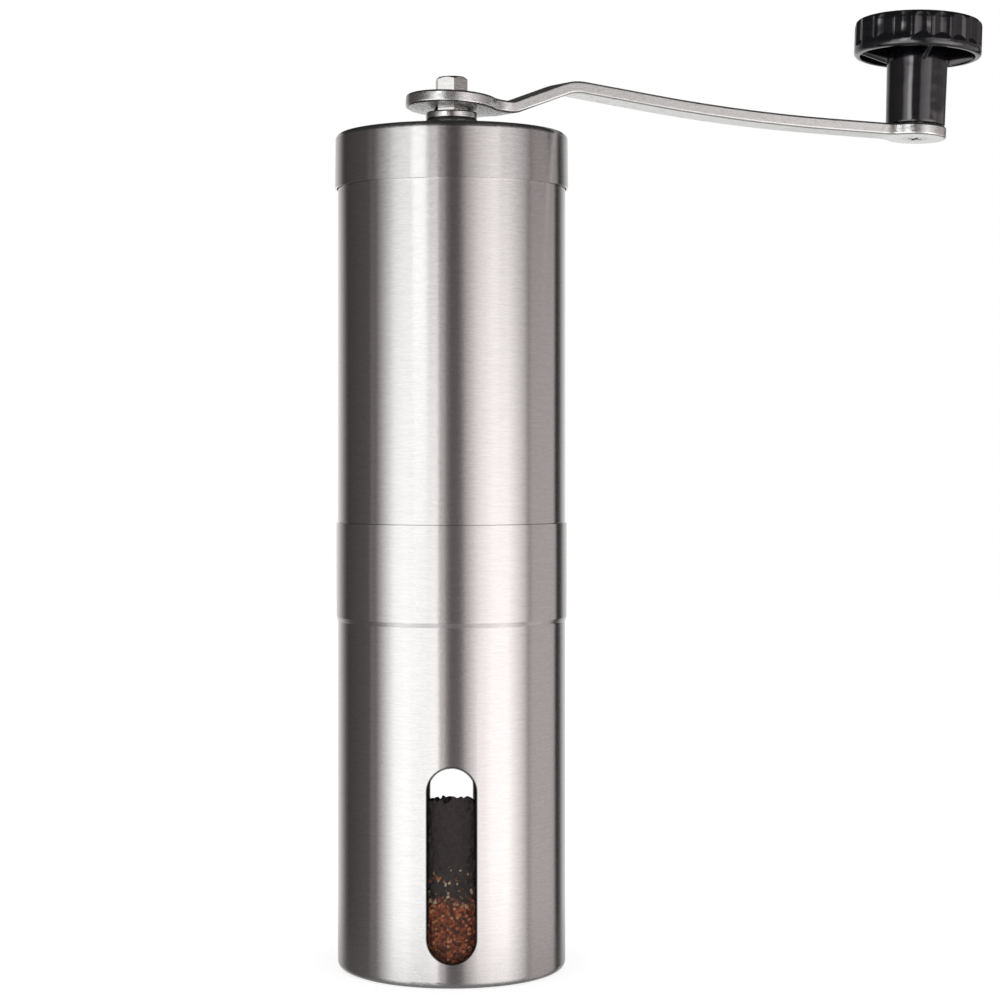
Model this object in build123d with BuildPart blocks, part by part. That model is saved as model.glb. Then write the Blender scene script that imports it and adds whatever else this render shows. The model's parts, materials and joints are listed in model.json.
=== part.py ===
from build123d import *
import os
from math import cos, hypot, radians, sin, tan

# Hand crank coffee grinder: a two-part steel tube with a ceramic cone burr, turned by a crank on top.
# Origin: centre of the base, on the surface it stands on. +Z is up, the windows face -Y and +Y.
# All lengths are in millimetres, all angles in degrees.

# Steel body
tube_diameter = 46.0      # upper tube and lower cup, outside
tube_wall = 0.8
cup_height = 89.6         # base to the rim of the socket
socket_depth = 19.8       # rim of the socket down to the foot of its shoulder
socket_step = 0.3         # how far the socket stands proud of the cup, in radius
socket_shoulder = 0.9     # height of the sloped shoulder under the socket
shoulder_rise = 0.2       # inner face of the shoulder over its outer face
body_height = 167.9       # base to the flat top of the lid
base_edge_radius = 1.4

# Clearances
tube_fit = 0.1            # radial, between steel parts that slide over each other
press_fit = 0.04          # radial, between a part and its seat
running_fit = 0.08        # radial, between a turning part and its bearing
seat_gap = 0.15           # between stacked faces that come apart

# Windows, clear liner and contents
window_width = 9.7
window_height = 38.0
window_foot = 4.9         # base to the lower end of the window
liner_wall = 1.0
liner_headroom = 2.7      # liner's rim below the foot of the upper tube
coffee_depth = 35.1       # at the front window
coffee_slope = 10.0       # the heap leans against the front window and falls to the back

# Lid
lid_height = 11.0
lid_sheet = 0.35
lid_flare = 0.15          # growth of the skirt's radius from top to foot
lid_edge_radius = 1.2
collar_diameter = 10.6    # cone in the lid's centre, at its top
collar_height = 2.7
collar_spread = 2.1       # how far the collar's foot flares out, in radius
lid_disc = 1.0            # thickness of the plastic disc in the lid
plug_depth = 7.5          # the disc's skirt, down into the tube
plug_wall = 1.2
flange_inset = 0.3        # edge of the disc's flange inside the tube's outside
bush_lip = 0.3            # thickness of the dark lip over the collar
ring_diameter = 10.4
ring_height = 1.6
ring_wall = 0.9
ring_rounding = 0.4

# Shaft
shaft_diameter = 6.0
hex_width = 6.0           # across the flats
hex_turn = 8.0            # how far the hexagon is turned about the shaft
hex_stand = 4.1           # hexagon above the crank's hub
hex_chamfer = 0.7
hex_drop = 4.0            # foot of the hexagon below the lid's disc
shaft_flats = 5.0         # across the two flats that drive the burr
thread_diameter = 5.0
thread_pitch = 0.8
thread_depth = 0.35
thread_length = 13.4
clip_thickness = 0.7
clip_diameter = 10.0
clip_groove = 0.5         # depth of the clips' grooves
washer_thickness = 0.6

# Upper bridge
bridge_drop = 2.2         # bridge's rim below the lid's plug
bridge_height = 6.0
bridge_wall = 1.8
arm_width = 3.6
arm_depth = 4.0
bridge_arms = 3
hub_diameter = 13.6
bush_diameter = 9.2
bush_flange = 0.9
bush_flange_diameter = 12.0

# Burrs and their housing
housing_flange = 1.5      # height of the housing's rim above the tube's ledge
housing_drop = 10.2       # foot of the housing below the foot of the upper tube
burr_diameter = 36.0
burr_height = 18.4
burr_wall = 1.55          # wall of the housing around the outer burr
lock_ring_height = 2.3
lock_ring_wall = 1.6
throat_lip = 1.5          # housing's lip over the outer burr
cone_foot_diameter = 30.0
cone_top_diameter = 15.2
cone_height = 19.0
cone_rim = 1.0            # straight rim at the cone's foot
grind_gap = 0.45          # between the cone and the outer burr, in radius
grind_zone = 7.0          # height over which the two burrs run parallel
burr_throat = 6.0         # mouth of the outer burr over its narrowest place
burr_mouth_diameter = 32.4
cone_bore = 12.0
cone_recess_diameter = 21.0
cone_recess_height = 5.5
carrier_disc_diameter = 25.0
carrier_disc_height = 2.1
housing_step = 3.5        # foot of the upper tube up to where the housing fills it
stem_recess = 1.5         # carrier's stem below the cone's top
bearing_height = 8.4
spring_height = 5.1
spring_wire = 0.8
spring_diameter = 8.8     # through the middle of the wire
spring_turns = 3.5

# Grooves of the burrs; the lean is measured on the cone's face
outer_crushing = {"count": 12, "width": 2.2, "depth": 0.8, "lean": 25}
outer_grinding = {"count": 36, "width": 0.9, "depth": 0.4, "lean": 20}
cone_crushing = {"count": 8, "width": 2.4, "depth": 1.0, "lean": 25}
cone_grinding = {"count": 32, "width": 0.8, "depth": 0.4, "lean": 20}

# Adjusting dial
dial_diameter = 27.0
dial_height = 5.8
dial_lobes = 12
lobe_radius = 3.1
lobe_depth = 1.7
dial_clicks = 18
click_height = 0.3
click_length = 2.8
click_inset = 2.8         # middle of the clicks inside the carrier's rim
bump_radius = 1.2         # the carrier's bumps that drop into the clicks
bumps = 3
nut_width = 8.0
nut_height = 4.0

# Crank
crank_length = 100.0      # shaft to knob
crank_angle = 12.0        # turned from +X towards +Y
crank_droop = 2.8         # the loose hub lets the crank hang by this much
crank_lean = 2.6          # and lean towards the back
crank_plate = 2.45
crank_edge = 0.45         # rounding of the stamped plate's edges
hub_plate_diameter = 18.6
hub_play = 0.3            # between the hexagon and the hub's hole, each side
hub_rest = 0.2            # hub over the lid's ring
arm_root_width = 5.4
arm_tip_width = 6.4
hub_blend = 4.8
eyelet_diameter = 12.9
eyelet_blend = 4.0
bend_reach = 11.5         # shaft to the first bend
peak_reach = 23.7         # shaft to the top of the rise
peak_rise = 5.45
bow_reach = 60.0
bow_rise = 2.05
tip_rise = 2.5
bend_skew = 0.5           # slant of the bend lines across the arm
root_bend_radius = 3.5
peak_bend_radius = 8.0
bow_radius = 380.0

# Knob
knob_diameter = 26.6
knob_height = 22.4
knob_head = 7.5           # height of the fluted head
knob_rounding = 1.3       # of the head's upper rim
knob_stem_diameter = 12.3
knob_stem_draft = 0.25    # growth of the stem's radius from foot to head
knob_lip = 1.3            # wall of the hollow head
knob_lip_rounding = 0.9
knob_hollow = 5.0
knob_turn = -9.5          # ribs and flutes off the arm's line
knob_foot_gap = 0.25
knob_flutes = 20
flute_radius = 2.8        # hollow of each flute
flute_depth = 0.5
flute_foot = 1.7          # plain band under the flutes
knob_ribs = 4
rib_thickness = 1.1
rib_recess = 0.3          # ribs inside the lip, at its wall
rib_drop = 1.8            # ribs below the lip, at the stem
cap_diameter = 16.0
cap_height = 1.2
post_diameter = 5.2
post_flange_diameter = 8.4
post_flange = 1.25
screw_diameter = 3.0
screw_head_diameter = 5.4
screw_grip = 8.0          # thread inside the post
screw_room = 1.0          # bore beyond the screw's end
cross_width = 0.7
cross_length = 3.0
cross_depth = 0.9

# Radii and levels that follow from the sizes above
tube_radius = tube_diameter / 2
tube_bore = tube_radius - tube_wall
socket_radius = tube_radius + socket_step
socket_bore = socket_radius - tube_wall
neck_radius = socket_bore - tube_fit
neck_bore = neck_radius - tube_wall
shoulder_foot = cup_height - socket_depth
shoulder_top = shoulder_foot + socket_shoulder
neck_foot = shoulder_top + 3 * seat_gap
ledge = cup_height + seat_gap
ledge_top = ledge + tube_wall
liner_radius = tube_bore - tube_fit
liner_bore = liner_radius - liner_wall
liner_foot = tube_wall + press_fit
liner_top = neck_foot - liner_headroom

disc_top = body_height - lid_sheet
disc_foot = disc_top - lid_disc
tube_top = disc_foot - seat_gap
lid_bore = tube_radius + tube_fit
lid_foot = body_height - lid_height
collar_radius = collar_diameter / 2
collar_top = body_height + collar_height
collar_bore = collar_radius - lid_sheet
ring_radius = ring_diameter / 2
ring_bore = ring_radius - ring_wall
lip_top = collar_top + bush_lip
ring_top = lip_top + ring_height
plug_foot = disc_foot - plug_depth
hub_tilt = radians(hypot(crank_droop, crank_lean))
hub_centre = ring_top + hub_rest + crank_plate / 2 + ring_radius * tan(hub_tilt)

shaft_radius = shaft_diameter / 2
hex_corner = hex_width / 2 / cos(radians(30))
shaft_top = hub_centre + crank_plate / 2 + hex_stand
hex_foot = disc_foot - hex_drop
bearing_bore = shaft_radius + running_fit
bush_radius = bush_diameter / 2
hub_radius = hub_diameter / 2
bridge_top = plug_foot - bridge_drop
bridge_foot = bridge_top - bridge_height

housing_foot = neck_foot - housing_drop
housing_top = ledge_top + housing_flange
burr_radius = burr_diameter / 2
pocket_radius = burr_radius + press_fit
lock_foot = housing_foot + burr_wall / 2
burr_foot = lock_foot + lock_ring_height + press_fit
burr_top = burr_foot + burr_height
cone_foot_radius = cone_foot_diameter / 2
cone_top_radius = cone_top_diameter / 2
cone_bore_radius = cone_bore / 2
cone_foot = burr_foot - cone_rim / 2
cone_top = cone_foot + cone_height
cone_slope = (cone_foot_radius - cone_top_radius) / (cone_height - cone_rim)
stem_top = cone_top - stem_recess
spring_top = stem_top + spring_height
washer_top = spring_top + washer_thickness
bearing_foot = washer_top + running_fit + bush_flange
bearing_top = bearing_foot + bearing_height
carrier_foot = cone_foot - carrier_disc_height
dial_top = carrier_foot - click_height - running_fit
dial_foot = dial_top - dial_height
click_reach = carrier_disc_diameter / 2 - click_inset
thread_radius = thread_diameter / 2
thread_top = cone_foot - running_fit
shaft_foot = thread_top - thread_length

knob_radius = knob_diameter / 2
stem_radius = knob_stem_diameter / 2
stem_top_radius = stem_radius + knob_stem_draft
head_foot = knob_height - knob_head
hollow_top = head_foot + knob_hollow
post_radius = post_diameter / 2
post_top = knob_height - cap_height - press_fit
post_shoulder = post_top - post_flange

tip_slope = (tip_rise - bow_rise) / (crank_length - bow_reach)
arm_turns = [crank_angle + 90 + i * 360 / bridge_arms for i in range(bridge_arms)]

# The crank's own frame: x along the arm, z square to the drooping hub
crank_plane = Plane(
    origin=(0, 0, hub_centre),
    x_dir=(cos(radians(crank_angle)), sin(radians(crank_angle)), 0),
    z_dir=(0, 0, 1),
).rotated((-crank_lean, crank_droop, 0))
side_plane = Plane(crank_plane.origin, x_dir=crank_plane.x_dir, z_dir=-crank_plane.y_dir)
bend_line = crank_plane.y_dir - crank_plane.x_dir * bend_skew

# The eyelet's frame, square to the arm's sloping tip, and the knob's frame on top of it
eyelet_plane = Plane(
    origin=crank_plane.from_local_coords(Vector(crank_length, 0, tip_rise)),
    x_dir=crank_plane.x_dir + crank_plane.z_dir * tip_slope,
    z_dir=crank_plane.z_dir - (crank_plane.x_dir + crank_plane.y_dir * bend_skew) * tip_slope,
)
knob_plane = eyelet_plane.offset(crank_plate / 2)


def turn(*outline, frame=Plane.XY, mode=Mode.ADD):
    """Revolve a closed outline of (radius, height) points about a frame's z axis."""
    with BuildSketch(Plane(frame.origin, x_dir=frame.x_dir, z_dir=-frame.y_dir)) as profile:
        with BuildLine():
            Polyline(*outline, close=True)
        make_face()
    revolve(profile.sketch, axis=Axis(frame.origin, frame.z_dir), mode=mode)


def ring(inner, outer, foot, top, frame=Plane.XY, mode=Mode.ADD):
    """A plain ring about a frame's z axis."""
    turn((inner, foot), (outer, foot), (outer, top), (inner, top), frame=frame, mode=mode)


def bore(radius, foot, top, frame=Plane.XY):
    """Cut a round hole about a frame's z axis."""
    turn((0, foot), (radius, foot), (radius, top), (0, top), frame=frame, mode=Mode.SUBTRACT)


def cone_grooves(foot, top, count, width, depth, lean, inside=False):
    """Cut straight grooves into a conical face that runs from foot to top, both (radius, height)."""
    slope = Vector(top[0] - foot[0], 0, top[1] - foot[1])
    normal = Vector(slope.Z, 0, -slope.X) * (-1 if inside else 1)
    middle = Vector((foot[0] + top[0]) / 2, 0, (foot[1] + top[1]) / 2)
    face = Plane(middle, x_dir=slope, z_dir=normal).rotated((0, 0, lean))
    places = [Rot(0, 0, i * 360 / count) * face.location for i in range(count)]
    with Locations(*places):
        Box(slope.length, width, 2 * depth, mode=Mode.SUBTRACT)


def spider(foot, depth, reach):
    """The arms that join a hub in the tube's middle to a rim at this reach."""
    with BuildSketch(Plane.XY.offset(foot)) as arms:
        for angle in arm_turns:
            with Locations(Rot(0, 0, angle)):
                with Locations((reach / 2, 0)):
                    Rectangle(reach, arm_width)
    extrude(arms.sketch, amount=depth)


# ---------------------------------------------------------------- lower cup

with BuildPart() as cup_shell:
    with BuildSketch(Plane.XZ) as wall:
        with BuildLine():
            Polyline(
                (0, 0),
                (tube_radius, 0),
                (tube_radius, shoulder_foot),
                (socket_radius, shoulder_top),
                (socket_radius, cup_height),
                (socket_bore, cup_height),
                (socket_bore, shoulder_top + shoulder_rise),
                (tube_bore, shoulder_foot + shoulder_rise),
                (tube_bore, tube_wall),
                (0, tube_wall),
                close=True,
            )
        make_face()
        corner = wall.vertices().sort_by_distance((tube_radius, 0))[0]
        inner_corner = wall.vertices().sort_by_distance((tube_bore, tube_wall))[0]
        fillet(corner, base_edge_radius)
        fillet(inner_corner, base_edge_radius / 2)
    revolve(wall.sketch, axis=Axis.Z)
    with BuildSketch(Plane.XZ) as window:
        with Locations((0, window_foot + window_height / 2)):
            SlotOverall(window_height, window_width, rotation=90)
    extrude(window.sketch, amount=tube_diameter, both=True, mode=Mode.SUBTRACT)

with BuildPart() as cup_liner:
    turn(
        (0, liner_foot),
        (liner_radius - base_edge_radius, liner_foot),
        (liner_radius, liner_foot + base_edge_radius),
        (liner_radius, liner_top),
        (liner_bore, liner_top),
        (liner_bore, liner_foot + liner_wall),
        (0, liner_foot + liner_wall),
    )

coffee_foot = liner_foot + liner_wall + press_fit
coffee_radius = liner_bore - press_fit
coffee_top = coffee_foot + coffee_depth
coffee_fall = 2 * coffee_radius * tan(radians(coffee_slope))
with BuildPart() as ground_coffee:
    ring(0, coffee_radius, coffee_foot, coffee_top)
    with BuildSketch(Plane.YZ) as space:
        with BuildLine():
            Polyline(
                (-coffee_radius, coffee_top),
                (coffee_radius, coffee_top - coffee_fall),
                (coffee_radius, coffee_top),
                close=True,
            )
        make_face()
    extrude(space.sketch, amount=coffee_radius, both=True, mode=Mode.SUBTRACT)

# ------------------------------------------------- upper tube and upper bridge

with BuildPart() as upper_tube:
    turn(
        (neck_bore, neck_foot),
        (neck_radius, neck_foot),
        (neck_radius, ledge),
        (tube_radius, ledge),
        (tube_radius, tube_top),
        (tube_bore, tube_top),
        (tube_bore, ledge_top),
        (neck_bore, ledge_top),
    )

with BuildPart() as top_bridge:
    rim = tube_bore - press_fit
    ring(rim - bridge_wall, rim, bridge_foot, bridge_top)
    ring(bush_radius + press_fit, hub_radius, bridge_foot, bridge_top)
    spider(bridge_top - arm_depth, arm_depth, rim - bridge_wall / 2)
    bore(bush_radius + press_fit, bridge_foot, bridge_top)

with BuildPart() as upper_bush:
    ring(bearing_bore, bush_radius, bridge_foot, bridge_top)
    ring(bearing_bore, bush_flange_diameter / 2, bridge_top, bridge_top + bush_flange)

# ------------------------------------------------------- burr housing, outer burr

with BuildPart() as burr_housing:
    throat_radius = burr_mouth_diameter / 2 - throat_lip / 2
    seat_radius = neck_bore - press_fit
    rim_radius = tube_bore - press_fit
    turn(
        (pocket_radius, housing_foot),
        (pocket_radius + burr_wall, housing_foot),
        (pocket_radius + burr_wall, neck_foot + housing_step),
        (seat_radius, neck_foot + housing_step + burr_wall),
        (seat_radius, ledge_top),
        (rim_radius, ledge_top),
        (rim_radius, housing_top),
        (rim_radius - tube_wall, housing_top),
        (throat_radius, burr_top + throat_lip + press_fit),
        (throat_radius, burr_top + press_fit),
        (pocket_radius, burr_top + press_fit),
    )
    ring(bush_radius + press_fit, hub_radius, bearing_foot, bearing_top)
    spider(housing_top - arm_depth, arm_depth, rim_radius - tube_wall)
    bore(bush_radius + press_fit, bearing_foot, bearing_top)

with BuildPart() as lower_bush:
    ring(bearing_bore, bush_radius, bearing_foot, bearing_top)
    ring(bearing_bore, bush_flange_diameter / 2, bearing_foot - bush_flange, bearing_foot)

run_foot = cone_foot_radius + grind_gap
run_top = run_foot - cone_slope * grind_zone
mouth_radius = burr_mouth_diameter / 2
throat_level = burr_top - burr_throat
with BuildPart() as outer_burr:
    turn(
        (run_foot, burr_foot),
        (burr_radius, burr_foot),
        (burr_radius, burr_top),
        (mouth_radius, burr_top),
        (run_top + cone_slope, throat_level),
        (run_top, burr_foot + cone_rim / 2 + grind_zone),
        (run_foot, burr_foot + cone_rim / 2),
    )
    throat = (run_top + cone_slope, throat_level)
    mouth = (mouth_radius, burr_top)
    cone_grooves(throat, mouth, **outer_crushing, inside=True)
    cone_grooves((run_foot, burr_foot), (run_top, burr_foot + grind_zone), **outer_grinding, inside=True)

with BuildPart() as burr_lock_ring:
    ring(burr_radius - lock_ring_wall, burr_radius, lock_foot, lock_foot + lock_ring_height)

# ------------------------------------------------------------------- shaft

upper_clip_foot = bridge_top + bush_flange + washer_thickness + 2 * running_fit
lower_clip_foot = bearing_top + running_fit
clip_feet = [upper_clip_foot, lower_clip_foot]
groove_radius = shaft_radius - clip_groove
with BuildPart() as shaft:
    turn(
        (0, thread_top),
        (shaft_radius, thread_top),
        (shaft_radius, hex_foot),
        (0, hex_foot),
    )
    ridges = int(thread_length / thread_pitch) - 1
    outline = [(0, thread_top), (thread_radius, thread_top)]
    for i in range(ridges):
        root = thread_top - (i + 0.5) * thread_pitch
        outline += [(thread_radius - thread_depth, root), (thread_radius, root - thread_pitch / 2)]
    outline += [(thread_radius - thread_depth, shaft_foot), (0, shaft_foot)]
    turn(*outline)
    with BuildSketch(Plane.XY.offset(hex_foot)) as hexagon:
        RegularPolygon(hex_width / 2, 6, major_radius=False, rotation=hex_turn + 30)
    extrude(hexagon.sketch, amount=shaft_top - hex_foot)
    tip_radius = hex_width / 2 - hex_chamfer / 2
    chamfer_reach = hex_corner + hex_chamfer
    turn(
        (tip_radius, shaft_top),
        (chamfer_reach, shaft_top - (chamfer_reach - tip_radius) * hex_chamfer),
        (chamfer_reach, shaft_top),
        mode=Mode.SUBTRACT,
    )
    for foot in clip_feet:
        ring(groove_radius, clip_diameter / 2, foot, foot + clip_thickness, mode=Mode.SUBTRACT)
    flats_height = stem_top - thread_top + running_fit
    with BuildSketch(Plane.XY.offset(thread_top)) as flats:
        Rectangle(shaft_diameter, shaft_diameter)
        Rectangle(shaft_diameter, shaft_flats, mode=Mode.SUBTRACT)
    extrude(flats.sketch, amount=flats_height, mode=Mode.SUBTRACT)

with BuildPart() as shaft_clips:
    for foot in clip_feet:
        with BuildSketch(Plane.XY.offset(foot)) as clip:
            Circle(clip_diameter / 2)
            Circle(groove_radius + press_fit, mode=Mode.SUBTRACT)
            with Locations((clip_diameter / 2, 0)):
                Rectangle(clip_diameter, 2 * groove_radius - clip_groove, mode=Mode.SUBTRACT)
        extrude(clip.sketch, amount=clip_thickness)

with BuildPart() as thrust_washers:
    for foot in [bridge_top + bush_flange + running_fit, spring_top]:
        ring(bearing_bore, clip_diameter / 2, foot, foot + washer_thickness)

# ---------------------------------------------------------- burr carriage

with BuildPart() as inner_burr:
    recess_radius = cone_recess_diameter / 2
    turn(
        (recess_radius, cone_foot),
        (cone_foot_radius, cone_foot),
        (cone_foot_radius, cone_foot + cone_rim),
        (cone_top_radius, cone_top),
        (cone_bore_radius, cone_top),
        (cone_bore_radius, cone_foot + cone_recess_height),
        (recess_radius, cone_foot + cone_recess_height),
    )
    tooth_foot = (cone_foot_radius, cone_foot + cone_rim)
    tooth_top = (cone_top_radius, cone_top)
    zone_top = (cone_foot_radius - cone_slope * grind_zone, cone_foot + cone_rim + grind_zone)
    cone_grooves(tooth_foot, tooth_top, **cone_crushing)
    cone_grooves(tooth_foot, zone_top, **cone_grinding)

with BuildPart() as burr_carrier:
    ring(0, carrier_disc_diameter / 2, carrier_foot, cone_foot)
    ring(0, recess_radius - press_fit, cone_foot, cone_foot + cone_recess_height - press_fit)
    ring(0, cone_bore_radius - press_fit, cone_foot, stem_top)
    with PolarLocations(click_reach, bumps):
        with Locations((0, 0, carrier_foot)):
            Cylinder(bump_radius, 2 * click_height)
    with BuildSketch(Plane.XY.offset(carrier_foot)) as keyway:
        Circle(bearing_bore)
        Rectangle(2 * bearing_bore, shaft_flats + 2 * running_fit, mode=Mode.INTERSECT)
    extrude(keyway.sketch, amount=stem_top - carrier_foot, mode=Mode.SUBTRACT)

with BuildPart() as burr_spring:
    coil_height = spring_height - spring_wire - 2 * press_fit
    with BuildLine(Plane.XY.offset(stem_top + (spring_height - coil_height) / 2)) as coil:
        Helix(coil_height / spring_turns, coil_height, spring_diameter / 2)
    with BuildSketch(coil.line ^ 0) as wire:
        Circle(spring_wire / 2)
    sweep(wire.sketch, path=coil.line)

# ------------------------------------------------------------- adjusting dial

nut_foot = (dial_foot + dial_top - nut_height) / 2
with BuildPart() as adjust_dial:
    ring(0, dial_diameter / 2, dial_foot, dial_top)
    with PolarLocations(dial_diameter / 2 + lobe_radius - lobe_depth, dial_lobes):
        with Locations((0, 0, (dial_foot + dial_top) / 2)):
            Cylinder(lobe_radius, dial_height, mode=Mode.SUBTRACT)
    with PolarLocations(click_reach, dial_clicks):
        with Locations((0, 0, dial_top)):
            Box(click_length, 4 * click_height, 2 * click_height, mode=Mode.SUBTRACT)
    with BuildSketch(Plane.XY.offset(nut_foot)) as pocket:
        RegularPolygon(nut_width / 2 + press_fit, 6, major_radius=False)
    extrude(pocket.sketch, amount=nut_height, mode=Mode.SUBTRACT)
    bore(thread_radius + 2 * running_fit, dial_foot, dial_top)

with BuildPart() as dial_nut:
    with BuildSketch(Plane.XY.offset(nut_foot)) as nut:
        RegularPolygon(nut_width / 2, 6, major_radius=False)
        Circle(thread_radius + running_fit, mode=Mode.SUBTRACT)
    extrude(nut.sketch, amount=nut_height)

# --------------------------------------------------------------------- lid

spread_radius = collar_radius + collar_spread
with BuildPart() as lid_shell:
    with BuildSketch(Plane.XZ) as sheet:
        with BuildLine():
            Polyline(
                (collar_radius, collar_top),
                (collar_bore, collar_top),
                (collar_bore, collar_top - lid_sheet),
                (spread_radius, disc_top),
                (lid_bore, disc_top),
                (lid_bore + lid_flare, lid_foot),
                (lid_bore + lid_flare + lid_sheet, lid_foot),
                (lid_bore + lid_sheet, body_height),
                (spread_radius, body_height),
                close=True,
            )
        make_face()
        rim = sheet.vertices().sort_by_distance((lid_bore + lid_sheet, body_height))[0]
        inner_rim = sheet.vertices().sort_by_distance((lid_bore, disc_top))[0]
        fillet(rim, lid_edge_radius)
        fillet(inner_rim, lid_edge_radius - lid_sheet)
    revolve(sheet.sketch, axis=Axis.Z)

plug_radius = tube_bore - tube_fit
flange_radius = tube_radius - flange_inset
bush_neck = collar_bore - press_fit
with BuildPart() as lid_plug:
    turn(
        (bush_neck + press_fit, disc_foot),
        (plug_radius - plug_wall, disc_foot),
        (plug_radius - plug_wall, plug_foot),
        (plug_radius, plug_foot),
        (plug_radius, disc_foot),
        (flange_radius, disc_foot),
        (flange_radius, disc_foot + lid_disc / 2),
        (lid_bore - lid_edge_radius, disc_top),
        (bush_neck + press_fit, disc_top),
    )

bush_bore = hex_corner + hub_play / 2
with BuildPart() as lid_bush:
    ring(bush_bore, bush_neck + lid_disc, disc_foot - lid_disc, disc_foot)
    ring(bush_bore, bush_neck, disc_foot, collar_top)
    ring(bush_bore, ring_radius, collar_top, lip_top)
    ring(bush_bore, ring_bore - press_fit, lip_top, ring_top - bush_lip)

with BuildPart() as lid_ring:
    ring(ring_bore, ring_radius, lip_top, ring_top)
    fillet(lid_ring.edges().filter_by(GeomType.CIRCLE).sort_by(SortBy.RADIUS)[-2:], ring_rounding)

# ------------------------------------------------------------------- crank

hub_plate_radius = hub_plate_diameter / 2
eyelet_radius = eyelet_diameter / 2
side_reach = hub_plate_diameter + crank_plate
with BuildPart() as crank_arm:
    with BuildSketch(side_plane) as side:
        with BuildLine():
            run_out = 2 * eyelet_diameter
            bent = FilletPolyline(
                (-2 * hub_plate_diameter, 0),
                (bend_reach, 0),
                (peak_reach, peak_rise),
                (bow_reach, bow_rise),
                (crank_length + run_out, tip_rise + run_out * tip_slope),
                radius=[root_bend_radius, peak_bend_radius, bow_radius],
            )
            offset(bent, amount=crank_plate / 2, kind=Kind.TANGENT)
        make_face()
    extrude(side.sketch, amount=side_reach, dir=bend_line, both=True)
    with BuildSketch(crank_plane) as plan:
        with BuildLine():
            Polyline(
                (0, arm_root_width / 2),
                (crank_length, arm_tip_width / 2),
                (crank_length, -arm_tip_width / 2),
                (0, -arm_root_width / 2),
                close=True,
            )
        make_face()
        Circle(hub_plate_radius)
        fillet(plan.vertices().filter_by_position(Axis.X, 0, hub_plate_radius), hub_blend)
        with Locations((crank_length, 0)):
            Circle(eyelet_radius)
        neck = crank_length - eyelet_radius
        fillet(plan.vertices().filter_by_position(Axis.X, neck, crank_length), eyelet_blend)
    extrude(plan.sketch, amount=peak_rise + 2 * crank_plate, both=True, mode=Mode.INTERSECT)
    upright = crank_plane.z_dir
    rim_faces = crank_arm.faces().filter_by(lambda face: abs(face.normal_at().dot(upright)) < 0.1)
    rim_edges = rim_faces.edges().filter_by(lambda edge: abs(edge.tangent_at(0.5).dot(upright)) < 0.9)
    fillet(rim_edges, crank_edge)
    with BuildSketch(crank_plane) as hub_hole:
        turned = hex_turn + 30 - crank_angle
        RegularPolygon(hex_width / 2 + hub_play, 6, major_radius=False, rotation=turned)
    extrude(hub_hole.sketch, amount=crank_plate, both=True, mode=Mode.SUBTRACT)
    screw_hole = screw_diameter / 2 + press_fit
    head_hole = screw_head_diameter / 2 + press_fit
    bore(screw_hole, -crank_plate, crank_plate, frame=eyelet_plane)
    turn(
        (0, -crank_plate),
        (head_hole + crank_plate / 2, -crank_plate),
        (screw_hole, -crank_plate / 2 + head_hole - screw_hole),
        (0, -crank_plate / 2 + head_hole - screw_hole),
        frame=eyelet_plane,
        mode=Mode.SUBTRACT,
    )

with BuildPart() as knob_screw:
    head_radius = screw_head_diameter / 2
    shank_radius = screw_diameter / 2
    turn(
        (0, -crank_plate),
        (head_radius, -crank_plate),
        (shank_radius, -crank_plate + head_radius - shank_radius),
        (shank_radius, screw_grip),
        (0, screw_grip),
        frame=knob_plane,
    )
    with BuildSketch(knob_plane.offset(-crank_plate)) as cross:
        Rectangle(cross_length, cross_width)
        Rectangle(cross_width, cross_length)
    extrude(cross.sketch, amount=cross_depth, mode=Mode.SUBTRACT)

with BuildPart() as knob_post:
    ring(0, post_radius, 0, post_top, frame=knob_plane)
    ring(0, post_flange_diameter / 2, post_shoulder, post_top, frame=knob_plane)
    bore(shank_radius + press_fit, 0, screw_grip + screw_room, frame=knob_plane)

# -------------------------------------------------------------------- knob

post_bore = post_radius + running_fit
flange_bore = post_flange_diameter / 2 + running_fit
flange_floor = post_shoulder - seat_gap
cap_radius = cap_diameter / 2
cap_floor = knob_height - cap_height
with BuildPart(knob_plane) as knob:
    turn(
        (post_bore, knob_foot_gap),
        (stem_radius, knob_foot_gap),
        (stem_top_radius, hollow_top),
        (knob_radius - knob_lip, hollow_top),
        (knob_radius - knob_lip, head_foot),
        (knob_radius, head_foot),
        (knob_radius, knob_height),
        (cap_radius, knob_height),
        (cap_radius, cap_floor),
        (flange_bore, cap_floor),
        (flange_bore, flange_floor),
        (post_bore, flange_floor),
        frame=knob_plane,
    )
    circles = knob.edges().filter_by(GeomType.CIRCLE)
    rims = circles.filter_by(lambda edge: edge.radius > knob_radius - knob_lip / 2)
    lip_rim, top_rim = rims.sort_by(Axis(knob_plane.origin, knob_plane.z_dir))
    fillet(lip_rim, knob_lip_rounding)
    fillet(top_rim, knob_rounding)
    for i in range(knob_ribs):
        angle = radians(knob_turn + i * 360 / knob_ribs)
        outward = knob_plane.x_dir * cos(angle) + knob_plane.y_dir * sin(angle)
        with BuildSketch(Plane(knob_plane.origin, outward, outward.cross(knob_plane.z_dir))) as rib:
            with BuildLine():
                Polyline(
                    (stem_radius - rib_recess, head_foot - rib_drop),
                    (knob_radius - knob_lip / 2, head_foot + rib_recess),
                    (knob_radius - knob_lip / 2, hollow_top + rib_recess),
                    (stem_radius - rib_recess, hollow_top + rib_recess),
                    close=True,
                )
            make_face()
        extrude(rib.sketch, amount=rib_thickness / 2, both=True)
    with BuildSketch(knob_plane.offset(head_foot + flute_foot)) as flutes:
        first_flute = knob_turn + 180 / knob_flutes
        with PolarLocations(knob_radius + flute_radius - flute_depth, knob_flutes, first_flute):
            Circle(flute_radius)
    extrude(flutes.sketch, amount=knob_head, mode=Mode.SUBTRACT)

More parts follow.
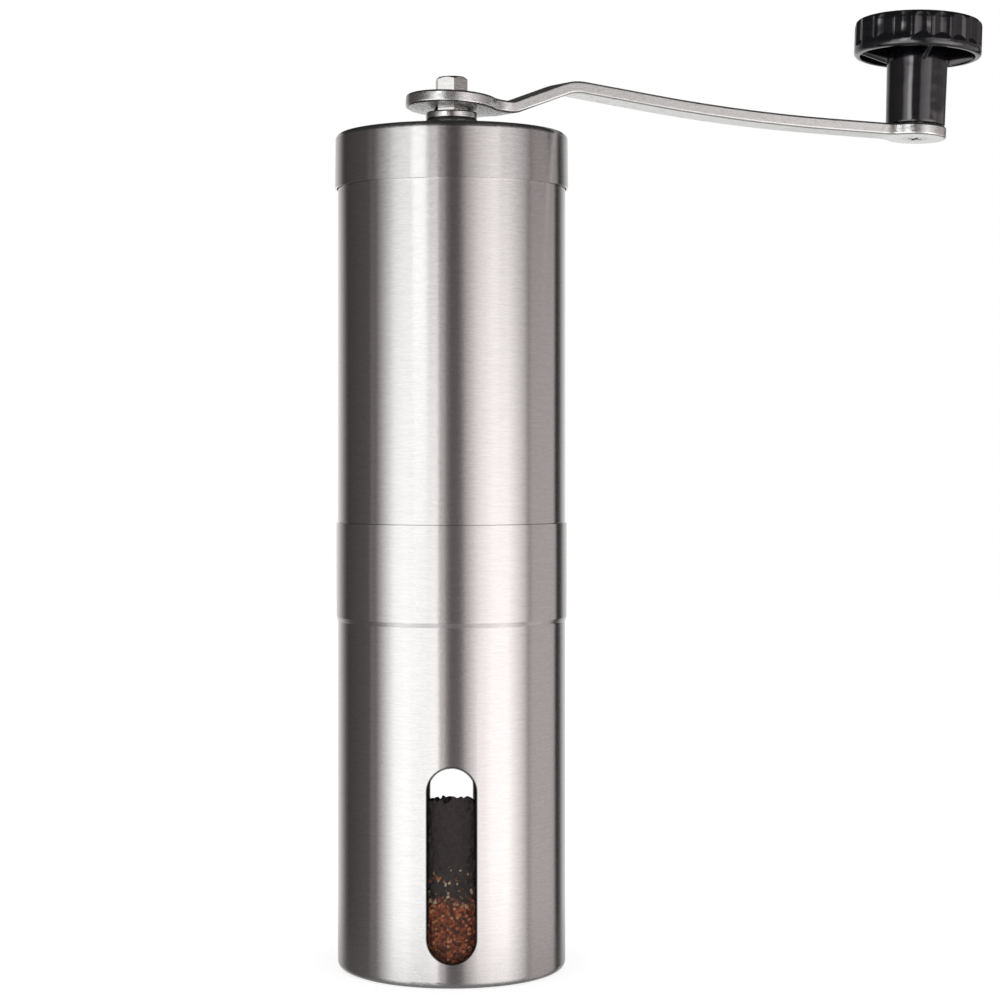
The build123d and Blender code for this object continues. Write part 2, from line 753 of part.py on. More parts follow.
with BuildPart() as knob_cap:
    ring(0, cap_radius - press_fit, cap_floor, knob_height, frame=knob_plane)
    chamfer(knob_cap.edges().filter_by(GeomType.CIRCLE), 2 * press_fit)

# --------------------------------------------------------------- all pieces

pieces = {
    "cup_shell": cup_shell,
    "cup_liner": cup_liner,
    "ground_coffee": ground_coffee,
    "upper_tube": upper_tube,
    "top_bridge": top_bridge,
    "upper_bush": upper_bush,
    "burr_housing": burr_housing,
    "lower_bush": lower_bush,
    "outer_burr": outer_burr,
    "burr_lock_ring": burr_lock_ring,
    "shaft": shaft,
    "shaft_clips": shaft_clips,
    "thrust_washers": thrust_washers,
    "inner_burr": inner_burr,
    "burr_carrier": burr_carrier,
    "burr_spring": burr_spring,
    "adjust_dial": adjust_dial,
    "dial_nut": dial_nut,
    "lid_shell": lid_shell,
    "lid_plug": lid_plug,
    "lid_bush": lid_bush,
    "lid_ring": lid_ring,
    "crank_arm": crank_arm,
    "knob_screw": knob_screw,
    "knob_post": knob_post,
    "knob": knob,
    "knob_cap": knob_cap,
}
os.makedirs("parts", exist_ok=True)
for name, piece in pieces.items():
    piece.part.label = name
    export_step(piece.part, f"parts/{name}.step")
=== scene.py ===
"""Dresses a packed hand crank coffee grinder: brushed steel, a fluted knob, grounds behind a clear liner.
It also sets up the small studio around it. Sizes are in metres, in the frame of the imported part."""

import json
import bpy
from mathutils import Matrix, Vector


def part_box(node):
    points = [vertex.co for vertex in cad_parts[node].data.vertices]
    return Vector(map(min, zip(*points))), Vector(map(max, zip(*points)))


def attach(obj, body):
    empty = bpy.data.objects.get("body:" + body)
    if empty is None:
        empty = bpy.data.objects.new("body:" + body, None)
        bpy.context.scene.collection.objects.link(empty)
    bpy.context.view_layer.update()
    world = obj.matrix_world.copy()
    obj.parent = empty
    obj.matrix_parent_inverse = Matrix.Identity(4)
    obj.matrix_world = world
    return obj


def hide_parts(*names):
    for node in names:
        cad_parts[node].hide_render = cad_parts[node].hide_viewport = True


bl_info = {
    "name": "Hand Crank Coffee Grinder",
    "version": (1, 0, 0),
    "blender": (4, 5, 0),
    "location": "View3D > Sidebar > Grinder",
    "description": "Finishes, knob, coffee grounds and a small studio around a coffee grinder's frame",
    "category": "Object",
}

from math import pi, radians, tan

import bpy
import numpy as np
from bpy.props import FloatProperty, FloatVectorProperty, IntProperty, PointerProperty
from bpy.types import Operator, Panel, PropertyGroup
from mathutils import Matrix, Vector

MM = 0.001
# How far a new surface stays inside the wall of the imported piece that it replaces
CLEARANCE = 0.00001
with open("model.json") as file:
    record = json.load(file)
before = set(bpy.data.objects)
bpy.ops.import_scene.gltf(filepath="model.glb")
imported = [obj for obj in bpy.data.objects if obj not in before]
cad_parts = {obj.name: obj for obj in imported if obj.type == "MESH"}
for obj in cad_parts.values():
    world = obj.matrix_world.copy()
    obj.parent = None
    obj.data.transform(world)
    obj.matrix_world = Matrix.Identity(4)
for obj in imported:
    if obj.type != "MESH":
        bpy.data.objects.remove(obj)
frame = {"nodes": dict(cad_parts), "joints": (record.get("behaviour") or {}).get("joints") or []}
nodes = frame["nodes"]
joints = {joint["name"]: joint for joint in frame["joints"]}
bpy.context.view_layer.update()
body_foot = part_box("cup_shell")[0].z


# ------------------------------------------------------------------ shader arithmetic


class Wire:
    """One output socket of a finish; arithmetic on wires adds Math nodes."""

    def __init__(self, finish, socket):
        self.finish = finish
        self.socket = socket

    def math(self, operation, *values, clamp=False):
        settings = {"operation": operation, "use_clamp": clamp}
        return self.finish.node("ShaderNodeMath", settings, *values)

    def __add__(self, other):
        return self.math("ADD", self, other)

    def __sub__(self, other):
        return self.math("SUBTRACT", self, other)

    def __rsub__(self, other):
        return self.math("SUBTRACT", other, self)

    def __mul__(self, other):
        return self.math("MULTIPLY", self, other)

    def __truediv__(self, other):
        return self.math("DIVIDE", self, other)

    def __rtruediv__(self, other):
        return self.math("DIVIDE", other, self)

    __radd__ = __add__
    __rmul__ = __mul__

    def power(self, exponent):
        return self.math("POWER", self, exponent)

    def absolute(self):
        return self.math("ABSOLUTE", self)

    def largest(self, other):
        return self.math("MAXIMUM", self, other)

    def ramp(self, low, high):
        """0 below low, 1 above high and a straight climb between them."""
        return self.math("DIVIDE", self - low, high - low, clamp=True)

    def beside(self, name):
        """Another output of the same node."""
        return Wire(self.finish, self.socket.node.outputs[name])


class Finish:
    """A material, or the world, built from nodes, with one method that adds any node."""

    def __init__(self, name, owner=None):
        self.owner = owner or bpy.data.materials.new(name)
        self.owner.use_nodes = True
        self.tree = self.owner.node_tree
        self.tree.nodes.clear()

    def node(self, kind, settings, *values, output=0, **named):
        """Add a node: its settings first, then its inputs in order and by name; returns one output."""
        made = self.tree.nodes.new(kind)
        for key, value in settings.items():
            if key == "stops":
                self.set_stops(made.color_ramp, value)
            else:
                setattr(made, key, value)
        chosen = dict(enumerate(values))
        chosen.update({name.replace("_", " "): value for name, value in named.items()})
        for key, value in chosen.items():
            socket = made.inputs[key]
            if isinstance(value, Wire):
                self.tree.links.new(value.socket, socket)
            elif value is not None:
                socket.default_value = value
        return Wire(self, made.outputs[output])

    @staticmethod
    def set_stops(ramp, stops):
        """Give a colour ramp its (position, colour) stops."""
        while len(ramp.elements) > 1:
            ramp.elements.remove(ramp.elements[-1])
        for index, (position, colour) in enumerate(stops):
            element = ramp.elements[0] if index == 0 else ramp.elements.new(position)
            element.position = position
            element.color = (*colour, 1.0)

    def place(self):
        """Object coordinates."""
        return self.node("ShaderNodeTexCoord", {}, output="Object")

    def axes(self):
        """Object coordinates one by one."""
        x = self.node("ShaderNodeSeparateXYZ", {}, self.place())
        return x, x.beside("Y"), x.beside("Z")

    def cells(self, size):
        """Cells of a size in metres: the distance to the nearest cell's middle, and that cell's own tone."""
        near = self.node("ShaderNodeTexVoronoi", {}, Vector=self.place(), Scale=1 / size)
        return near, self.node("ShaderNodeSeparateColor", {}, near.beside("Color"))

    def noise(self, *scale, detail=2.0, roughness=0.5):
        """Soft noise from 0 to 1; the scale is in features per metre, for each axis or once for all three."""
        scale = scale if len(scale) == 3 else scale * 3
        vector = self.node("ShaderNodeVectorMath", {"operation": "MULTIPLY"}, self.place(), scale)
        shape = {"Scale": 1.0, "Detail": detail, "Roughness": roughness}
        return self.node("ShaderNodeTexNoise", {}, Vector=vector, **shape)

    def mix(self, factor, first, second):
        """A colour between two colours. The mix node has its colours at inputs 6 and 7 and output 2."""
        first, second = (value if isinstance(value, Wire) else (*value, 1.0) for value in (first, second))
        skipped = [None] * 5
        return self.node("ShaderNodeMix", {"data_type": "RGBA"}, factor, *skipped, first, second, output=2)

    def bump(self, height, depth):
        """Turn a 0 to 1 height into a normal; depth is in metres."""
        return self.node("ShaderNodeBump", {}, Distance=depth, Height=height)

    def surface(self, **inputs):
        """The principled shader, with its inputs by name."""
        return self.node("ShaderNodeBsdfPrincipled", {}, **inputs)

    def close(self, shader, output="ShaderNodeOutputMaterial"):
        """Send a shader to the output and return what it finishes."""
        made = self.tree.nodes.new(output)
        self.tree.links.new(shader.socket, made.inputs["Surface"])
        return self.owner


# ------------------------------------------------------------------ surfaces


def grid_mesh(name, points, close_around=False, close_along=False, poles=()):
    """A mesh from a grid of points (along, around, 3): one quad between each four neighbours. Poles are the
    points that close its first and last row."""
    along, around = points.shape[:2]
    index = np.arange(along * around).reshape(along, around)
    rows = np.vstack([index, index[:1]]) if close_along else index
    both = np.hstack([rows, rows[:, :1]]) if close_around else rows
    quads = np.stack([both[:-1, :-1], both[:-1, 1:], both[1:, 1:], both[1:, :-1]], axis=-1)
    faces = quads.reshape(-1, 4).tolist()
    vertices = points.reshape(-1, 3)
    if len(poles):
        first, last = len(vertices), len(vertices) + 1
        vertices = np.vstack([vertices, np.array(poles).reshape(-1, 3)])
        low = np.stack([both[0, 1:], both[0, :-1], np.full(around, first)], axis=-1)
        high = np.stack([both[-1, :-1], both[-1, 1:], np.full(around, last)], axis=-1)
        faces += low.tolist() + high.tolist()
    mesh = bpy.data.meshes.new(name)
    mesh.from_pydata(vertices.tolist(), [], faces)
    mesh.polygons.foreach_set("use_smooth", np.ones(len(mesh.polygons), bool))
    mesh.update()
    return mesh


def rounded_outline(corners, steps=6):
    """Round the corners of a closed outline of (radius, height, rounding): each corner becomes a quadratic
    curve that starts and ends one rounding away from it."""
    corners = np.array(corners, float)
    here, rounding = corners[:, :2], corners[:, 2:3]
    before = np.roll(here, 1, axis=0) - here
    after = np.roll(here, -1, axis=0) - here
    start = here + before / np.linalg.norm(before, axis=1, keepdims=True) * rounding
    end = here + after / np.linalg.norm(after, axis=1, keepdims=True) * rounding
    t = np.linspace(0, 1, steps)[None, :, None]
    curve = (1 - t) ** 2 * start[:, None] + 2 * t * (1 - t) * here[:, None] + t**2 * end[:, None]
    return curve.reshape(-1, 2)


def spaced(outline, longest):
    """Add points to a closed outline so that no stretch is longer than this."""
    ends = np.roll(outline, -1, axis=0)
    counts = np.maximum(1, np.ceil(np.linalg.norm(ends - outline, axis=1) / longest)).astype(int)
    start = np.repeat(outline, counts, axis=0)
    step = np.repeat((ends - outline) / counts[:, None], counts, axis=0)
    order = np.concatenate([np.arange(count) for count in counts])
    return start + step * order[:, None]


def soft_floor(value, low, width):
    """The larger of value and low, rounded over a width w: low + (g + sqrt(g^2 + w^2)) / 2 for a gap g."""
    gap = value - low
    return low + (gap + np.sqrt(gap**2 + width**2)) / 2


def linked(mesh, material):
    """An object of the mesh's own name, with one material."""
    piece = bpy.data.objects.new(mesh.name, mesh)
    bpy.context.scene.collection.objects.link(piece)
    mesh.materials.append(material)
    return piece


def add_piece(mesh, material, body):
    """Link a mesh as a piece that rides on a body."""
    piece = linked(mesh, material)
    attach(piece, body)
    return piece


def dress(material, *names):
    """Give CAD nodes a finish."""
    for name in names:
        nodes[name].data.materials.clear()
        nodes[name].data.materials.append(material)


def stage_piece(mesh, material, seen_by_camera=False):
    """Link a mesh as part of the studio."""
    piece = linked(mesh, material)
    piece.visible_camera = seen_by_camera
    return piece


# ------------------------------------------------------------------ sizes and colours


class GrinderStudio(PropertyGroup):
    """Camera, floor and light tent"""

    lens: FloatProperty(name="Lens", description="Focal length", default=86.4, unit="CAMERA")
    distance: FloatProperty(name="Distance", description="Camera to the shaft", default=0.486, unit="LENGTH")
    height: FloatProperty(name="Height", description="Camera over the floor", default=0.1044, unit="LENGTH")
    shift: FloatVectorProperty(name="Shift", description="Lens shift", size=2, default=(0.0484, -0.051))
    tent_radius: FloatProperty(
        name="Tent", description="Radius of the light tent", default=1.6, unit="LENGTH"
    )
    tent_top: FloatProperty(
        name="Tent top", description="Upper edge of the tent", default=0.62, unit="LENGTH"
    )
    tent_foot: FloatProperty(
        name="Tent foot", description="Lower edge of the tent", default=-1.3, unit="LENGTH"
    )
    bar_radius: FloatProperty(
        name="Bars", description="Radius of the upper bars", default=1.55, unit="LENGTH"
    )
    bar_foot: FloatProperty(
        name="Bar foot", description="Lower edge of the bars", default=0.345, unit="LENGTH"
    )
    bar_top: FloatProperty(name="Bar top", description="Upper edge of the bars", default=0.62, unit="LENGTH")
    # Painted shade: a grey sheet on the floor, seen only in reflections, that stands in for the floor's shade
    # around the foot
    foot_shade_radius: FloatProperty(
        name="Table", description="Radius of the grey the foot mirrors", default=0.08, unit="LENGTH"
    )
    foot_shade_light: FloatProperty(name="Table light", description="Level of that grey", default=0.15)
    foot_shade_share: FloatProperty(name="Table share", description="How much it covers", default=0.35)
    floor_radius: FloatProperty(name="Floor", description="Radius of the floor", default=1.2, unit="LENGTH")
    floor_paper: FloatProperty(name="Paper", description="Share of light that the floor returns", default=0.7)
    floor_glow: FloatProperty(name="Glow", description="The floor's own light for the camera", default=0.68)
    flag: FloatProperty(name="Flag", description="Light of the tent's roof", default=0.03)
    well: FloatProperty(name="Well", description="Light from below the floor", default=0.25)
    fill: FloatProperty(name="Fill", description="Light of the world on matt surfaces", default=0.6)


class GrinderSteel(PropertyGroup):
    """Brushed tubes and their windows"""

    colour: FloatVectorProperty(
        name="Steel", description="Brushed steel", subtype="COLOR", default=(0.765, 0.755, 0.75)
    )
    shade: FloatVectorProperty(
        name="Shade", description="Darker streaks", subtype="COLOR", default=(0.65, 0.635, 0.63)
    )
    roughness: FloatProperty(name="Roughness", description="Of the brushing", default=0.22)
    streak_length: FloatProperty(
        name="Streak length", description="Around the tube", default=0.0007, unit="LENGTH"
    )
    streak_width: FloatProperty(
        name="Streak width", description="Up and down", default=0.00024, unit="LENGTH"
    )
    window_width: FloatProperty(name="Window width", description="Of the slot", default=0.0097, unit="LENGTH")
    window_height: FloatProperty(
        name="Window height", description="Of the slot", default=0.038, unit="LENGTH"
    )
    window_foot: FloatProperty(name="Window foot", description="Over the base", default=0.0049, unit="LENGTH")
    # Width of the painted shade: a near black line on the steel along each window's edge; the liner's shade
    # is placed from it too
    rim: FloatProperty(name="Rim", description="Dark punched edge", default=0.00025, unit="LENGTH")


class GrinderKnob(PropertyGroup):
    """Knob on the crank"""

    radius: FloatProperty(
        name="Radius", description="Head's radius over the ridges", default=0.0133, unit="LENGTH"
    )
    height: FloatProperty(name="Height", description="Knob over the arm", default=0.0224, unit="LENGTH")
    head: FloatProperty(name="Head", description="Height of the fluted head", default=0.0075, unit="LENGTH")
    hollow: FloatProperty(
        name="Hollow", description="Depth of the head's hollow", default=0.005, unit="LENGTH"
    )
    lip: FloatProperty(name="Lip", description="Wall of the hollow head", default=0.0013, unit="LENGTH")
    stem: FloatProperty(name="Stem", description="Stem's radius at its foot", default=0.00615, unit="LENGTH")
    draft: FloatProperty(
        name="Draft", description="Growth of the stem's radius", default=0.00025, unit="LENGTH"
    )
    turn: FloatProperty(name="Turn", description="Ribs off the arm's line, degrees", default=-9.5)
    ribs: IntProperty(name="Ribs", description="Gussets under the head", default=4)
    rib_width: FloatProperty(
        name="Rib width", description="Thickness of a rib", default=0.0011, unit="LENGTH"
    )
    rib_drop: FloatProperty(
        name="Rib drop", description="Ribs below the lip, at the stem", default=0.0018, unit="LENGTH"
    )
    flutes: IntProperty(name="Flutes", description="Hollows around the head", default=20)
    flute_depth: FloatProperty(
        name="Flute depth", description="Hollow's depth", default=0.0005, unit="LENGTH"
    )
    flute_radius: FloatProperty(
        name="Flute radius", description="Hollow's curve", default=0.0028, unit="LENGTH"
    )
    flute_foot: FloatProperty(
        name="Flute foot", description="Plain band under the flutes", default=0.0017, unit="LENGTH"
    )
    colour: FloatVectorProperty(
        name="Plastic", description="Black plastic", subtype="COLOR", default=(0.006, 0.006, 0.008)
    )


class GrinderCoffee(PropertyGroup):
    """Grounds and flakes in the cup"""

    lump: FloatProperty(name="Lump", description="Size of a lump of grounds", default=0.0009, unit="LENGTH")
    relief: FloatProperty(name="Relief", description="Depth between lumps", default=0.0003, unit="LENGTH")
    grain: FloatProperty(name="Grain", description="Size of a ground", default=0.00058, unit="LENGTH")
    slope: FloatProperty(name="Slope", description="Fall of the heap to the back, degrees", default=10.0)
    layer: FloatProperty(name="Layer", description="Top of the redder grounds", default=0.0157, unit="LENGTH")
    chaff_top: FloatProperty(name="Chaff top", description="Highest flakes", default=0.0236, unit="LENGTH")
    chaff: IntProperty(name="Chaff", description="Light flakes at each window", default=80)
    # Painted shade: the near black colour of the grounds above the redder layer
    painted_shade_grounds: FloatVectorProperty(
        name="Dark", description="Dark grounds", subtype="COLOR", default=(0.04, 0.029, 0.029)
    )


# ------------------------------------------------------------------ finishes


def off_window(finish, sizes):
    """Distance outside the windows' outline, a straight slot with round ends; below 0 inside it."""
    x, _, z = finish.axes()
    half_width, half_height = sizes.window_width / 2, sizes.window_height / 2
    past_straight = (z - (sizes.window_foot + half_height)).absolute() - (half_height - half_width)
    past_straight = past_straight.largest(0.0)
    return (x * x + past_straight * past_straight).power(0.5) - half_width


def brushed_steel(sizes):
    """Steel brushed around the tube: noise that is short up and down and longer around, and painted shade, a
    thin near black line, along the edge of each window."""
    finish = Finish("brushed_steel")
    x, y, z = finish.axes()
    radius = (x * x + y * y).power(0.5)

    def streaks(width, length):
        """Noise with a width up and down and a length around the tube."""
        vector = finish.node("ShaderNodeCombineXYZ", {}, radius / width, z / width, x / length)
        shape = {"Vector": vector, "W": y / length, "Scale": 1.0, "Detail": 1.0}
        return finish.node("ShaderNodeTexNoise", {"noise_dimensions": "4D"}, **shape)

    fine = streaks(sizes.streak_width, sizes.streak_length)
    broad = streaks(1.5 * sizes.streak_width, 4 * sizes.streak_length)
    tone = fine * 0.65 + broad * 0.35
    steel = finish.mix(tone.ramp(0.3, 0.7), tuple(sizes.shade), tuple(sizes.colour))
    # Painted shade: within this width outside each window's outline the steel turns near black
    edge = off_window(finish, sizes).ramp(0, sizes.rim)
    shader = finish.surface(
        Base_Color=finish.mix(edge, (0.02, 0.02, 0.02), steel),
        Metallic=1.0,
        Roughness=(fine - 0.5) * 0.12 + sizes.roughness,
        Anisotropic=1.0,
        Anisotropic_Rotation=0.25,
        Normal=finish.bump(tone, depth=0.00001),
    )
    return finish.close(shader)


def tumbled_steel():
    """Stamped plate with a fine speckle from tumbling; near the hub and the eyelet it is smoother from use
    and lighter in colour, the lighter colour a painted highlight.
    """
    finish = Finish("tumbled_steel")
    speckle = finish.noise(4500, roughness=0.7)
    pits = finish.noise(1300)
    warm = finish.noise(600, detail=1.0)
    x, y, _ = finish.axes()
    reach = (x * x + y * y).power(0.5)
    hub, arm_start, arm_end, eyelet = 0.0105, 0.016, 0.091, 0.095
    # Near the hub and the eyelet: lower roughness from use, and a lighter colour without warm patches that is
    # a painted highlight
    polished_and_painted_highlight = (1 - reach.ramp(hub, arm_start)).largest(reach.ramp(arm_end, eyelet))
    grey = finish.mix(speckle.ramp(0.35, 0.65), (0.8, 0.805, 0.79), (0.98, 0.985, 0.97))
    grey = finish.mix(warm.ramp(0.62, 0.78) * 0.35, grey, (0.55, 0.43, 0.4))
    bright = finish.mix(speckle.ramp(0.35, 0.65), (0.82, 0.82, 0.81), (0.98, 0.98, 0.97))
    shader = finish.surface(
        Base_Color=finish.mix(polished_and_painted_highlight, grey, bright),
        Metallic=1.0,
        Roughness=(pits - 0.5) * 0.2 + 0.4 - polished_and_painted_highlight * 0.12,
        Normal=finish.bump(speckle * 0.5 + pits * 0.5, depth=0.00003),
    )
    return finish.close(shader)


def turned_steel():
    """Bright steel with faint turning marks."""
    finish = Finish("turned_steel")
    marks = finish.noise(300, 300, 5200)
    colour = finish.mix(marks.ramp(0.3, 0.7), (0.6, 0.585, 0.57), (0.76, 0.75, 0.74))
    shader = finish.surface(
        Base_Color=colour,
        Metallic=1.0,
        Roughness=(marks - 0.5) * 0.1 + 0.2,
        Normal=finish.bump(marks, depth=0.000008),
    )
    return finish.close(shader)


def gloss_plastic(sizes):
    """Black moulding with the slow waves that shrinking leaves in a thick wall."""
    finish = Finish("gloss_black")
    waves = finish.noise(160, 160, 220, detail=1.0)
    haze = finish.noise(2500)
    shader = finish.surface(
        Base_Color=finish.mix(haze, tuple(sizes.colour), tuple(1.6 * part for part in sizes.colour)),
        Roughness=haze * 0.05 + 0.1,
        IOR=2.0,
        Normal=finish.bump(waves + haze * 0.01, depth=0.00014),
    )
    return finish.close(shader)


def matt_plastic():
    """Black inner mouldings with a fine spark-eroded grain."""
    finish = Finish("matt_black")
    grain = finish.noise(3000, detail=3.0)
    shader = finish.surface(
        Base_Color=finish.mix(grain.ramp(0.3, 0.7), (0.02, 0.02, 0.022), (0.04, 0.04, 0.043)),
        Roughness=grain * 0.2 + 0.4,
        Normal=finish.bump(grain, depth=0.00004),
    )
    return finish.close(shader)


def nylon():
    """White bushes, slightly waxy."""
    finish = Finish("white_nylon")
    grain = finish.noise(1500)
    shader = finish.surface(
        Base_Color=finish.mix(grain, (0.74, 0.73, 0.68), (0.84, 0.83, 0.79)),
        Roughness=grain * 0.15 + 0.35,
        Normal=finish.bump(grain, depth=0.00001),
    )
    return finish.close(shader)


def ceramic():
    """Fired burrs: off-white with faint grey cloud and a fine tooth."""
    finish = Finish("burr_ceramic")
    cloud = finish.noise(220, detail=3.0)
    tooth = finish.noise(4000)
    shader = finish.surface(
        Base_Color=finish.mix(cloud.ramp(0.35, 0.7), (0.66, 0.64, 0.6), (0.82, 0.81, 0.78)),
        Roughness=tooth * 0.2 + 0.45,
        Normal=finish.bump(tooth, depth=0.00003),
    )
    return finish.close(shader)


def brass():
    """Machined brass nut."""
    finish = Finish("nut_brass")
    marks = finish.noise(500, 500, 4000)
    shader = finish.surface(
        Base_Color=finish.mix(marks, (0.62, 0.43, 0.17), (0.78, 0.58, 0.27)),
        Metallic=1.0,
        Roughness=marks * 0.15 + 0.2,
        Normal=finish.bump(marks, depth=0.00001),
    )
    return finish.close(shader)


def clear_plastic(sizes):
    """Thin clear wall: see-through, with a little gloss at grazing angles and shade along the window."""
    finish = Finish("clear_liner")
    haze = finish.noise(400, 400, 90)
    through = finish.node("ShaderNodeBsdfTransparent", {})
    gloss = finish.surface(
        Base_Color=(0.8, 0.82, 0.82, 1.0),
        Roughness=haze * 0.06 + 0.04,
        Normal=finish.bump(haze, depth=0.00002),
    )
    shade = finish.surface(Base_Color=(0.012, 0.011, 0.011, 1.0), Roughness=haze * 0.1 + 0.5)
    edge = finish.node("ShaderNodeLayerWeight", {}, Blend=0.12, output="Fresnel")
    clear = finish.node("ShaderNodeMixShader", {}, edge * 0.25, through, gloss)
    height = finish.axes()[2].ramp(sizes.window_foot, sizes.window_foot + sizes.window_width)
    shade_start, shade_end = -1.9 * sizes.rim, -0.7 * sizes.rim
    behind = off_window(finish, sizes).ramp(shade_start, shade_end) * height * 0.85
    return finish.close(finish.node("ShaderNodeMixShader", {}, behind, clear, shade))


def ground_coffee(sizes):
    """Grounds as cells with a tone each: near black above, a painted shade over the upper grounds, and below
    them rust, orange and straw.
    """
    finish = Finish("ground_coffee")
    near, tone = finish.cells(sizes.grain)
    height = finish.axes()[2]
    spread = finish.noise(500)
    wander, blend = 0.004, 0.0015
    low = 1 - (height + (spread - 0.5) * wander).ramp(sizes.layer, sizes.layer + blend)
    # Near black above the layer is painted shade over the upper grounds
    darkest, lightest = (tuple(share * part for part in sizes.painted_shade_grounds) for share in (0.7, 1.3))
    painted_shade_grounds = finish.mix(tone, darkest, lightest)
    stops = [
        (0.0, (0.06, 0.018, 0.011)),
        (0.25, (0.17, 0.042, 0.018)),
        (0.6, (0.34, 0.078, 0.026)),
        (0.87, (0.52, 0.15, 0.05)),
        (1.0, (0.6, 0.3, 0.16)),
    ]
    red = finish.node("ShaderNodeValToRGB", {"stops": stops}, tone)
    shaded_foot, full_light = 0.003, 0.011
    lit = (height.ramp(shaded_foot, full_light) * 0.3 + 0.7) * (1 - near.ramp(0.5, 0.85) * 0.8)
    red = finish.mix(lit, (0.022, 0.009, 0.007), red)
    shader = finish.surface(
        Base_Color=finish.mix(low, painted_shade_grounds, red),
        Roughness=tone * 0.2 + 0.5,
        Normal=finish.bump(near, depth=-0.0002),
    )
    return finish.close(shader)


def chaff():
    """Flakes of silver skin: gold, tan and rust, one tone each."""
    finish = Finish("coffee_chaff")
    tone = finish.node("ShaderNodeAttribute", {"attribute_name": "flake_tone"}, output="Fac")
    grain = finish.noise(3000)
    stops = [
        (0.0, (0.2, 0.04, 0.015)),
        (0.3, (0.42, 0.14, 0.04)),
        (0.65, (0.55, 0.35, 0.15)),
        (1.0, (0.72, 0.58, 0.38)),
    ]
    colour = finish.node("ShaderNodeValToRGB", {"stops": stops}, tone)
    shader = finish.surface(
        Base_Color=finish.mix(grain * 0.4, colour, (0.12, 0.05, 0.02)),
        Roughness=0.5,
        Normal=finish.bump(grain, depth=0.00004),
    )
    return finish.close(shader)


# ------------------------------------------------------------------ studio

WHITE = (1.0, 1.0, 1.0, 1.0)
# Light of the tent's wall: degrees around from the front towards the crank, level, and how warm it is
TENT = (
    (-180, 1.05, 0.0),
    (-152, 0.63, 0.05),
    (-135, 0.16, 0.1),
    (-128, 0.06, 0.1),
    (-90, 0.12, 0.1),
    (-87, 0.25, 0.1),
    (-81, 0.19, 0.07),
    (-77, 0.45, 0.03),
    (-59, 1.57, 0.0),
    (-45, 1.66, 0.0),
    (-38, 1.44, 0.0),
    (-28, 1.36, 0.0),
    (-20, 1.62, 0.0),
    (-14, 1.68, 0.02),
    (-12, 0.76, 0.05),
    (-8, 0.78, 0.07),
    (-5, 0.32, 0.09),
    (0, 0.16, 0.1),
    (8, 0.19, 0.1),
    (11, 0.3, 0.09),
    (14, 0.57, 0.08),
    (27, 1.32, 0.05),
    (40, 1.65, 0.045),
    (57, 1.76, 0.04),
    (77, 0.86, 0.06),
    (83, 0.39, 0.09),
    (88, 0.58, 0.09),
    (124, 0.55, 0.09),
    (130, 0.02, 0.1),
    (139, 0.06, 0.05),
    (150, 0.5, 0.0),
    (180, 1.05, 0.0),
)
# Light of the upper bars, which the knob and the top of the body mirror
BARS = (
    (-180, 0.8, 0.0),
    (-150, 0.4, 0.0),
    (-135, 0.05, 0.1),
    (-64, 0.12, 0.1),
    (-54, 0.8, 0.0),
    (-42, 1.2, 0.0),
    (-37, 2.7, 0.0),
    (-27, 2.7, 0.0),
    (-22, 0.08, 0.1),
    (6, 0.08, 0.1),
    (12, 0.6, 0.08),
    (45, 1.05, 0.05),
    (52, 0.22, 0.08),
    (124, 0.22, 0.1),
    (133, 0.05, 0.1),
    (150, 0.4, 0.0),
    (180, 0.8, 0.0),
)


def light_by_direction(name, light):
    """Emission that follows the direction around the grinder; warmth takes from green and blue."""
    finish = Finish(name)
    x, y, _ = finish.axes()
    turn = x.math("ARCTAN2", x, y * -1.0) / (2 * pi) + 0.5
    peak = max(level for _, level, _ in light)
    stops = []
    for degrees, level, warmth in light:
        cool = level / peak * (1 - warmth)
        stops.append(((degrees + 180) / 360, (level / peak, cool, cool)))
    glow = finish.node("ShaderNodeValToRGB", {"stops": stops}, turn)
    return finish.close(finish.node("ShaderNodeEmission", {}, glow, peak))


def plain_emission(name, strength):
    """A flat white glow."""
    finish = Finish(name)
    return finish.close(finish.node("ShaderNodeEmission", {}, WHITE, strength))


def floor_finish(sizes):
    """White floor that keeps a faint shadow: diffuse paper, with some glow for the camera."""
    finish = Finish("studio_floor")
    seen = finish.node("ShaderNodeLightPath", {}, output="Is Camera Ray")
    paper = finish.node("ShaderNodeBsdfDiffuse", {}, (*[sizes.floor_paper] * 3, 1.0))
    glow = finish.node("ShaderNodeEmission", {}, WHITE, seen * sizes.floor_glow)
    return finish.close(finish.node("ShaderNodeAddShader", {}, paper, glow))


def foot_shade_finish(sizes):
    """Painted shade of the floor at the steel's foot: a grey that only the steel's foot mirrors, full near
    the shaft and gone at its radius.
    """
    finish = Finish("studio_foot_shade")
    x, y, _ = finish.axes()
    fade = (x * x + y * y).power(0.5).ramp(0.4 * sizes.foot_shade_radius, sizes.foot_shade_radius)
    clear = finish.node("ShaderNodeBsdfTransparent", {}, WHITE)
    grey = finish.node("ShaderNodeEmission", {}, WHITE, sizes.foot_shade_light)
    return finish.close(finish.node("ShaderNodeMixShader", {}, (1 - fade) * sizes.foot_shade_share, clear, grey))


def disc(name, radius, level, sides=128):
    """A flat round sheet about the shaft: points at equal angles, in one face."""
    turn = np.linspace(0, 2 * pi, sides, endpoint=False)
    rim = np.stack([radius * np.cos(turn), radius * np.sin(turn), np.full(sides, level)], axis=-1)
    mesh = bpy.data.meshes.new(name)
    mesh.from_pydata(rim.tolist(), [], [list(range(sides))])
    return mesh


def wall(name, radius, foot, top, sides=96):
    """A round wall about the shaft: a circle of points at a lower and at an upper level."""
    turn = np.linspace(0, 2 * pi, sides, endpoint=False)
    level = np.array([foot, top])[:, None]
    points = np.stack(np.broadcast_arrays(radius * np.sin(turn), radius * np.cos(turn), level), axis=-1)
    return grid_mesh(name, points, close_around=True)


